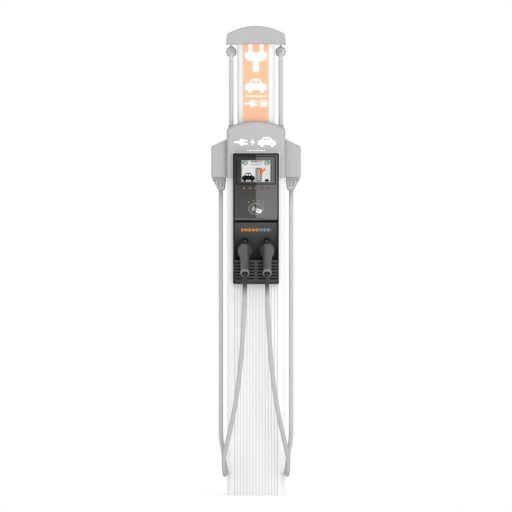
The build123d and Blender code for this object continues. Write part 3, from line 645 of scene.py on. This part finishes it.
def sign_marks():
    """A plug standing on its lead, a car, a dashed line, and a plug that meets a battery."""
    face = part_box("sign_panel")[0].y
    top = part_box("sign_panel")[1].z / MM
    prongs = [[[(x - 7, 1700), (x + 7, 1700), (x + 7, top), (x - 7, top)]] for x in (-21, 21)]
    plug = [[(-43, 1706), (-43, 1690), (-38, 1679), (-27, 1673),
             (27, 1673), (38, 1679), (43, 1690), (43, 1706)]]
    lead = [[capsule(0, 1682, 0, 1641, 24)]]
    shapes = prongs + [plug] + lead + stretched(car_shapes(0, 1574, 84), 1574, 1.3)
    shapes += [[rounded(x, 1537, 8, 7, 2.5)] for x in range(-36, 37, 12)]
    shapes += plug_shapes(-14, 1509, 46) + [[rounded(28, 1509, 24, 27, 4), rounded(28, 1509, 17, 20, 2)]]
    shapes += [[rounded(28, 1502 + 5.2 * i, 12, 3.6, 1)] for i in range(3)] + [[rounded(42, 1509, 3, 11, 1)]]
    plate("sign_marks", millimetres(shapes), "mark_white", lambda x, z: face)


def head_marks():
    """A lead that runs from a plug to a car, in white."""
    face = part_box("head_front")[0].y
    shapes = plug_shapes(-54, 1359, 44) + stretched(car_shapes(42, 1358, 68), 1358, 1.12)
    shapes += [[placed(BOLT, -13, 1359, 30)]]
    shapes += [[rounded(-33 + 6.6 * i, 1327, 4.6, 3.4, 1.2)] for i in range(11)]
    plate("head_marks", millimetres(shapes), "mark_white", lambda x, z: face)


def tap_mark():
    """A card held to a ring, and the waves between them."""
    ring = [[ring_of(0, 1103, 28, 21.5, 64), ring_of(0, 1103, 26.4, 19.9, 64)]]
    plate("tap_ring", millimetres(ring), "mark_grey", panel_depth, folds=(0,))
    card = [[[(-2, 1090), (18, 1084), (24, 1098), (4, 1105)]]]
    plate("tap_card", millimetres(card), "pale_print_and_highlight", panel_depth, folds=(0,))
    chip = [[[(5, 1096), (10, 1094.5), (11.5, 1098), (6.5, 1099.5)]]]
    plate("tap_chip", millimetres(chip), "mark_dark", panel_depth, lift=0.0003)
    waves = []
    for radius in (6, 11, 16):
        angles = [radians(120 + 12 * i) for i in range(8)]
        outer = [(radius * cos(a), 1100 + radius * sin(a)) for a in angles]
        inner = [((radius - 1.8) * cos(a), 1100 + (radius - 1.8) * sin(a)) for a in reversed(angles)]
        waves.append([outer + inner])
    plate("tap_waves", millimetres(waves), "pale_print_and_highlight", panel_depth, folds=(0,))


def panel_lip_highlight():
    """Painted highlight on the display panel's lower lip: a paler matt strip along its chamfer."""
    outline = [[(-80, 1060.4), (80, 1060.4), (80, 1066.5), (-80, 1066.5)]]
    top_y, top_z, slope = -0.123, 1.070, 9.5 / 12

    def sloping(x, z):
        return top_y + (top_z - z) * slope
    plate("panel_lip_highlight", millimetres([outline]), "lip_highlight", sloping, lift=0.0002)


def notch_highlight():
    """Painted highlight on the head round the charger front: a pale edging along its chamfer."""
    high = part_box("fascia_chassis")[1]
    half, top, bottom, width = high.x + 0.0008, high.z + 0.0009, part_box("head_front")[0].z + 0.001, 0.0036
    outline = [(-half - width, bottom), (-half, bottom), (-half, top), (half, top), (half, bottom),
               (half + width, bottom), (half + width, top + width), (-half - width, top + width)]
    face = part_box("head_front")[0].y
    plate("notch_highlight", [[outline]], "pale_print_and_highlight", lambda x, z: face, thickness=0.0007, lift=0)


def surface_depth(node):
    """The y of a node's front face at any (x, z)."""
    tree = BVHTree.FromPolygons([v.co for v in node.data.vertices], [p.vertices for p in node.data.polygons])

    def depth(x, z):
        hit = tree.ray_cast(Vector((x, -1.0, z)), Vector((0, 1, 0)))[0]
        return hit.y if hit else 0.0
    return depth


def boot_slots(side, sign):
    """Three rows of flex slots across each boot, lined with dark plates of painted shade, with pale bridges
    of painted highlight between them.
    """
    depth = surface_depth(NODES[f"arm_boot_{side}"])
    slots, bridges = [], []
    for z, left, right in ((1213, -19, 26), (1203.5, -16, 22), (1194, -12, 19)):
        columns = [x for x in (-19.5, -5.5, 8.5, 22.5) if left - 3 <= x <= right]
        for x in columns:
            slots.append([rounded(sign * (135.7 + x), z, 6.4, 3.0, 1.0)])
        for x in (-12.5, 1.5, 15.5):
            if left <= x <= right:
                bridges.append([rounded(sign * (135.7 + x), z, 3.0, 3.4, 1.0)])
    plate(f"boot_slots_{side}", millimetres(slots), "slot_shade", depth, thickness=0.0002)
    plate(f"boot_bridges_{side}", millimetres(bridges), "pale_print_and_highlight", depth, thickness=0.0003)


def accent_strip():
    low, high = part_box("holster_panel")
    lean = 0.020

    def depth(x, z):
        return low.y + (high.z - z) / (high.z - low.z) * lean
    bars = [[rounded(-54 + 7.2 * i, 1022, 5.0, 10 + 3 * (-1) ** i, 1.5)] for i in range(16)]
    plate("accent_orange", millimetres(bars[:9]), "mark_orange", depth)
    plate("accent_blue", millimetres(bars[9:]), "mark_blue", depth)


def screen_image():
    """A plain charging screen: a post between a car and a prompt, with ready marks for both sides."""
    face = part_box("lcd_module")[0].y

    def layer(name, shapes, material, level=0):
        plate(f"screen_{name}", millimetres(shapes), material, lambda x, z: face - level * 0.00002,
              thickness=0.00001,
              lift=0.00001)
    layer("ground", [[rounded(0, 1247.5, 110, 82.5, 1)]], "screen_light", 0)
    ready, ticks = [], []
    for s in (-1, 1):
        ready.append([ring_of(s * 41, 1279.5, 9.6, 8.6, n=32)])
        ready.append([[(s * 48, 1288), (s * 54.5, 1280), (s * 48, 1272)]])
        ticks.append([ring_of(s * 41, 1279.5, 5.6, n=32)])
    layer("ready", ready, "screen_green", 1)
    layer("ready_disc", ticks, "screen_light", 2)
    layer("ticks", [[capsule(s * 41 + x0, z0, s * 41 + x1, z1, 2.2)] for s in (-1, 1)
                    for x0, z0, x1, z1 in ((-3, 1280, -0.5, 1277), (-0.5, 1277, 3.5, 1283.5))],
              "screen_green", 3)
    words = [[rounded(-17 + 7 * i, 1284, 5.6, 6, 1)] for i in range(4)]
    layer("title", words + [[rounded(-2, 1273, 42, 2, 0.8)]],
          "screen_grey", 1)
    layer("title_accent", [[rounded(14 + 7 * i, 1284, 5.6, 6, 1)] for i in range(2)], "screen_orange", 1)
    layer("post", [[rounded(10, 1234, 14, 54, 3)]], "screen_grey", 1)
    layer("post_marks", [[rounded(10, 1250 - 7 * i, 9, 3.4, 0.8)] for i in range(6)], "screen_light", 2)
    layer("post_display", [[rounded(10, 1257.5, 8, 3.4, 0.8)]], "screen_orange", 3)
    leads = [[capsule(x, 1210, x, 1258, 3.4)] for x in (0, 20)] + [[ring_of(42, 1212, 9, 5, 32)]]
    layer("dark", stretched(car_shapes(-29, 1222, 50), 1222, 1.45) + leads, "screen_dark", 1)
    layer("ground_line", [[rounded(-29, 1209, 52, 2.4, 1)]], "screen_dark", 1)
    arrow = [[capsule(33, 1255, 23, 1246, 7)], [[(12, 1236), (17, 1254), (29, 1242)]]]
    layer("arrow", arrow, "screen_arrow", 4)


def button_centres():
    for i in range(1, 6):
        low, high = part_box(f"button_{i}")
        x, z, radius = (low.x + high.x) / 2, (low.z + high.z) / 2, 0.0026
        vertices, faces = [(x, low.y - 0.0006, z)], []
        rings = [(0.35, 0.00055), (0.7, 0.0004), (0.93, 0.00015), (1.0, -0.0002)]
        n = 24
        for share, out in rings:
            vertices += [(across, low.y - out, up) for across, up in ring_of(x, z, radius * share, n=n)]
        faces += [(0, 1 + (k + 1) % n, 1 + k) for k in range(n)]
        for r in range(len(rings) - 1):
            for k in range(n):
                a, b = 1 + r * n + k, 1 + r * n + (k + 1) % n
                faces.append((a, b, b + n, a + n))
        faces.append(tuple(range(1 + (len(rings) - 1) * n, 1 + len(rings) * n)))
        dome = add_mesh(f"button_dome_{i}", vertices, faces, "mark_ember", f"key_{i}")
        mend_normals(dome)


# ---------------------------------------------------------------- the scene
MATERIALS = paint_nodes()
make_camera()
make_stage()
for side, sign in SIDES:
    charging_cable(side, sign, connector_grip(side, sign))
    upper_cables(side)
    retractor_wires(side, sign)
    boot_slots(side, sign)

sign_marks()
head_marks()
tap_mark()
panel_lip_highlight()
notch_highlight()
accent_strip()
screen_image()
button_centres()
